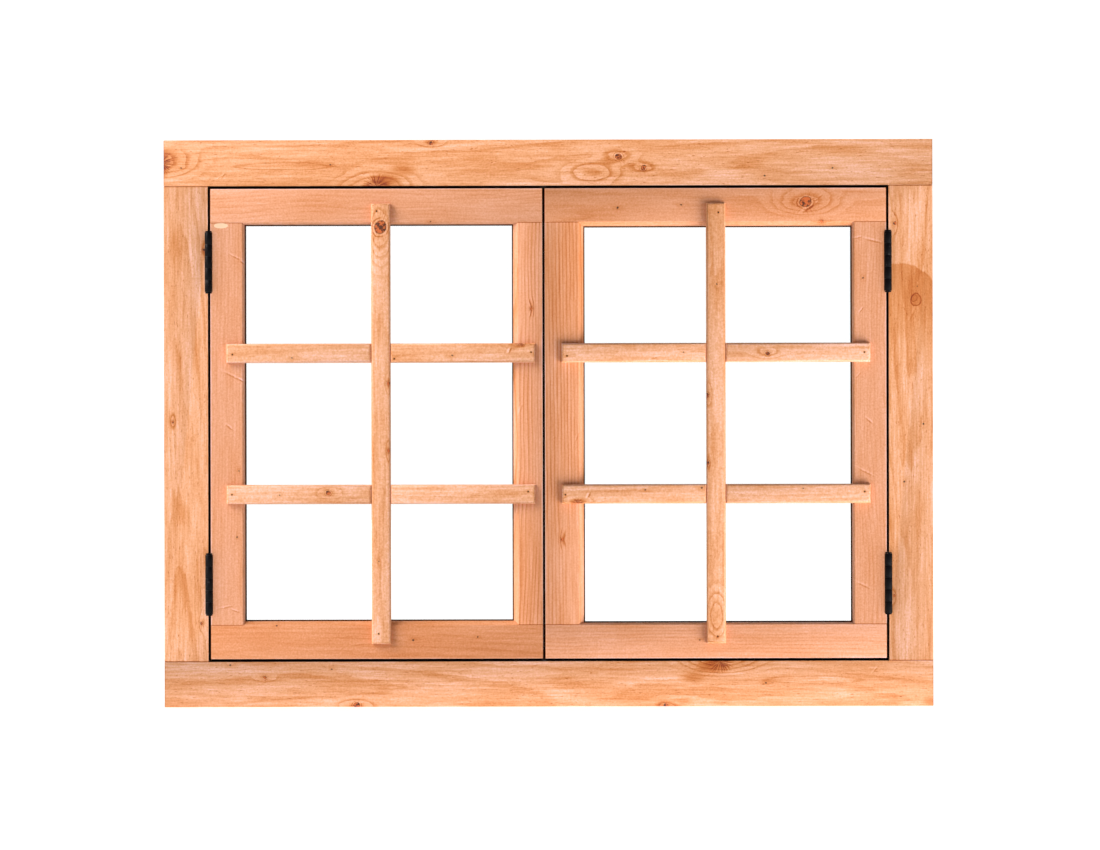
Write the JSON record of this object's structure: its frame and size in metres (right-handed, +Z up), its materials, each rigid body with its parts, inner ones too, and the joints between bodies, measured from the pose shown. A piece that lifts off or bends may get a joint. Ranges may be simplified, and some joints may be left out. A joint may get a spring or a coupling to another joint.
{
  "type": "casement window",
  "caption": "Timber casement window: a frame with side-hung sashes that open outwards, planted glazing bars, butt hinges outside, bolts and a turning fastener inside.",
  "frame": {"origin": "middle of the sill's underside, half way through the frame's depth", "axes": "+X to the right seen from outside, +Y towards the inside of the building, +Z up"},
  "size_m": [1.2, 0.082, 0.885],
  "materials": {
    "frame_timber": "planed softwood with a warm orange oil finish, satin",
    "sash_timber": "fine-grained planed softwood, pinkish oil finish, satin",
    "bar_timber": "planed softwood strip, pale peach oil finish, satin",
    "black_steel": "black powder coat over steel",
    "rubber": "matt black sealing rubber",
    "clear_glass": "clear float glass"
  },
  "bodies": {
    "frame": {"head": "frame_timber", "sill": "frame_timber", "left_jamb": "frame_timber", "right_jamb": "frame_timber", "frame_seal": "rubber", "top_bolt_keep": "black_steel", "bottom_bolt_keep": "black_steel", "left_upper_hinge_frame_leaf": "black_steel", "left_upper_hinge_pin": "black_steel", "left_lower_hinge_frame_leaf": "black_steel", "left_lower_hinge_pin": "black_steel", "right_upper_hinge_frame_leaf": "black_steel", "right_upper_hinge_pin": "black_steel", "right_lower_hinge_frame_leaf": "black_steel", "right_lower_hinge_pin": "black_steel"},
    "left_sash": {"left_top_rail": "sash_timber", "left_bottom_rail": "sash_timber", "left_hinge_stile": "sash_timber", "left_meeting_stile": "sash_timber", "left_top_bead": "sash_timber", "left_bottom_bead": "sash_timber", "left_hinge_bead": "sash_timber", "left_meeting_bead": "sash_timber", "left_upright_bar": "bar_timber", "left_upper_hinge_bar": "bar_timber", "left_upper_meeting_bar": "bar_timber", "left_lower_hinge_bar": "bar_timber", "left_lower_meeting_bar": "bar_timber", "left_glazing_gasket": "rubber", "left_glass": "clear_glass", "left_upper_hinge_sash_leaf": "black_steel", "left_lower_hinge_sash_leaf": "black_steel", "meeting_seal": "rubber", "top_bolt_plate": "black_steel", "bottom_bolt_plate": "black_steel", "fastener_keep": "black_steel"},
    "right_sash": {"right_top_rail": "sash_timber", "right_bottom_rail": "sash_timber", "right_hinge_stile": "sash_timber", "right_meeting_stile": "sash_timber", "right_top_bead": "sash_timber", "right_bottom_bead": "sash_timber", "right_hinge_bead": "sash_timber", "right_meeting_bead": "sash_timber", "right_upright_bar": "bar_timber", "right_upper_hinge_bar": "bar_timber", "right_upper_meeting_bar": "bar_timber", "right_lower_hinge_bar": "bar_timber", "right_lower_meeting_bar": "bar_timber", "right_glazing_gasket": "rubber", "right_glass": "clear_glass", "right_upper_hinge_sash_leaf": "black_steel", "right_lower_hinge_sash_leaf": "black_steel", "fastener_plate": "black_steel"},
    "top_bolt": {"top_bolt_rod": "black_steel"},
    "bottom_bolt": {"bottom_bolt_rod": "black_steel"},
    "fastener": {"fastener_lever": "black_steel"}
  },
  "joints": [
    {"name": "left_swing", "type": "hinge", "parent": "frame", "child": "left_sash", "pos_m": [-0.52925, -0.041, 0.442], "axis": [0, 0, -1], "range_deg": [0, 170]},
    {"name": "right_swing", "type": "hinge", "parent": "frame", "child": "right_sash", "pos_m": [0.52925, -0.041, 0.442], "axis": [0, 0, 1], "range_deg": [0, 170]},
    {"name": "top_bolt_slide", "type": "slide", "parent": "left_sash", "child": "top_bolt", "axis": [0, 0, 1], "range_m": [0, 0.011]},
    {"name": "bottom_bolt_slide", "type": "slide", "parent": "left_sash", "child": "bottom_bolt", "axis": [0, 0, -1], "range_m": [0, 0.011]},
    {"name": "fastener_turn", "type": "hinge", "parent": "right_sash", "child": "fastener", "pos_m": [0.01635, 0.0136, 0.442], "axis": [0, -1, 0], "range_deg": [0, 90]}
  ]
}
